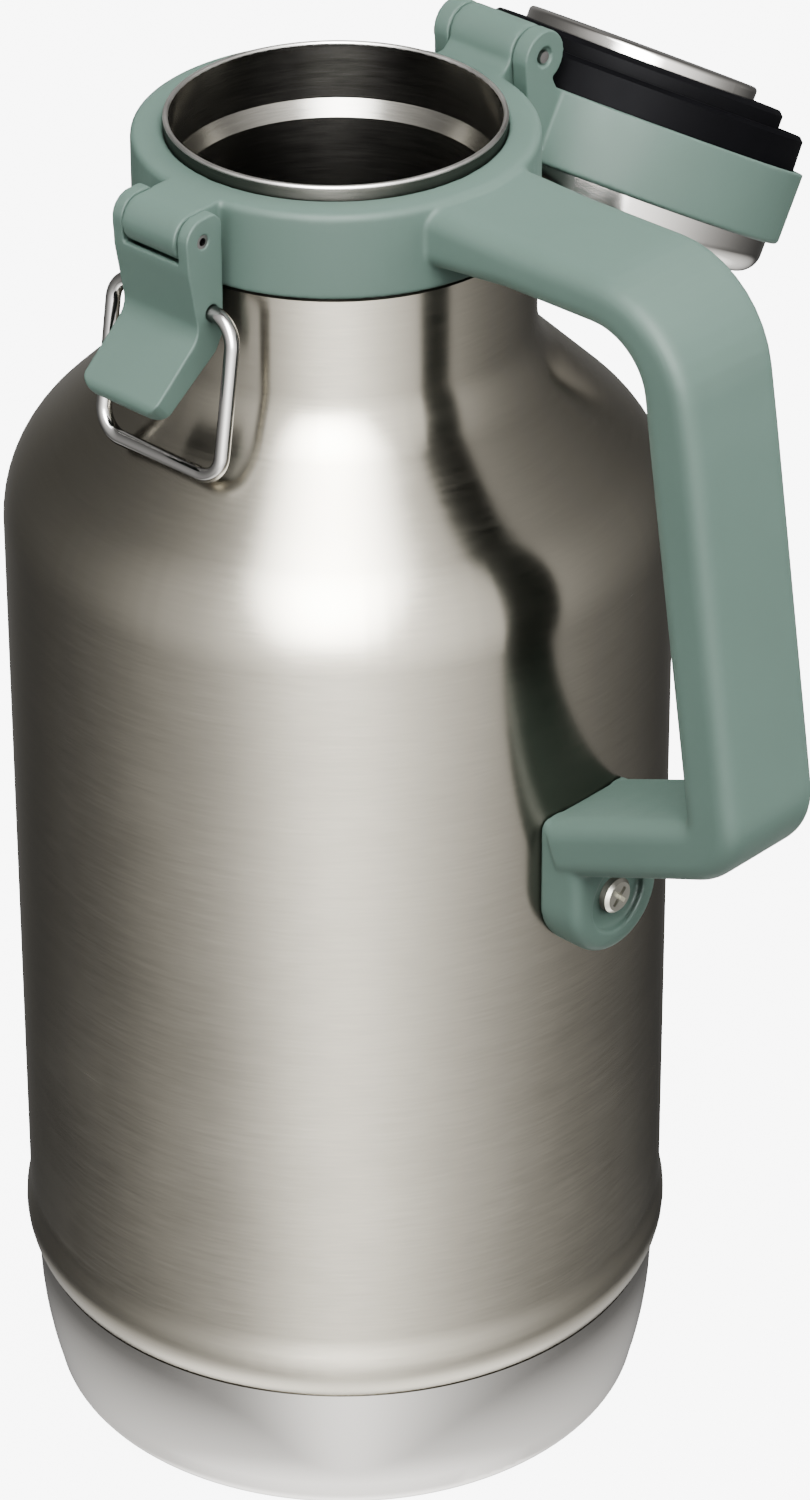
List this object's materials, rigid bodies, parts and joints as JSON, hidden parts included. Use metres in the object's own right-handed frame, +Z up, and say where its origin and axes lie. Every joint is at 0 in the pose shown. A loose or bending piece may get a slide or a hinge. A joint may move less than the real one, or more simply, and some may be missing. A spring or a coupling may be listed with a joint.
{
  "type": "growler",
  "caption": "Vacuum-insulated steel growler with a side handle, a hinged lid swung open on its rear hinge and a lever latch with a wire bail.",
  "frame": {"origin": "centre of the flat base where it rests", "axes": "+Z up along the vessel's axis, handle on +X, latch on -Y, lid hinge on +Y"},
  "size_m": [0.1692, 0.1775, 0.274],
  "materials": {
    "body_steel": "brushed stainless steel, fine grain running round the body, warm grey",
    "liner_steel": "satin stainless steel with fine turning lines",
    "polished_steel": "polished stainless steel",
    "green_plastic": "moulded grey-green plastic with a fine matte grain",
    "black_plastic": "black moulded plastic, satin",
    "black_silicone": "black silicone seal",
    "foam": "rigid cream insulating foam",
    "screw_steel": "plated steel screw",
    "wire_steel": "bright drawn stainless wire and pins",
    "seal_metal": "grey sealing metal",
    "getter_metal": "dark sintered getter in a metal dish"
  },
  "bodies": {
    "vessel": {"outer_shell": "body_steel", "inner_liner": "liner_steel", "liner_bottom": "liner_steel", "outer_bottom": "body_steel", "vacuum_seal": "seal_metal", "getter": "getter_metal", "base_cup": "polished_steel", "handle_boss": "body_steel", "collar_handle": "green_plastic", "handle_screw": "screw_steel"},
    "lid": {"lid_band": "green_plastic", "lid_cap": "polished_steel", "lid_insulation": "foam", "lid_screws": "screw_steel", "stopper_body": "black_plastic", "stopper_seal": "black_silicone", "stopper_disc": "polished_steel", "hinge_pin": "wire_steel"},
    "lever": {"latch_lever": "green_plastic", "latch_pin": "wire_steel"},
    "bail": {"latch_bail": "wire_steel"}
  },
  "joints": [
    {"name": "lid_hinge", "type": "hinge", "parent": "vessel", "child": "lid", "pos_m": [0, 0.0428, 0.2689], "axis": [1, 0, 0], "range_deg": [0, 210.3]},
    {"name": "latch_hinge", "type": "hinge", "parent": "vessel", "child": "lever", "pos_m": [0, -0.0429, 0.2619], "axis": [-1, 0, 0], "range_deg": [0, 60]},
    {"name": "bail_hinge", "type": "hinge", "parent": "lever", "child": "bail", "pos_m": [0, -0.0411, 0.2476], "axis": [-1, 0, 0], "range_deg": [0, 139]}
  ]
}
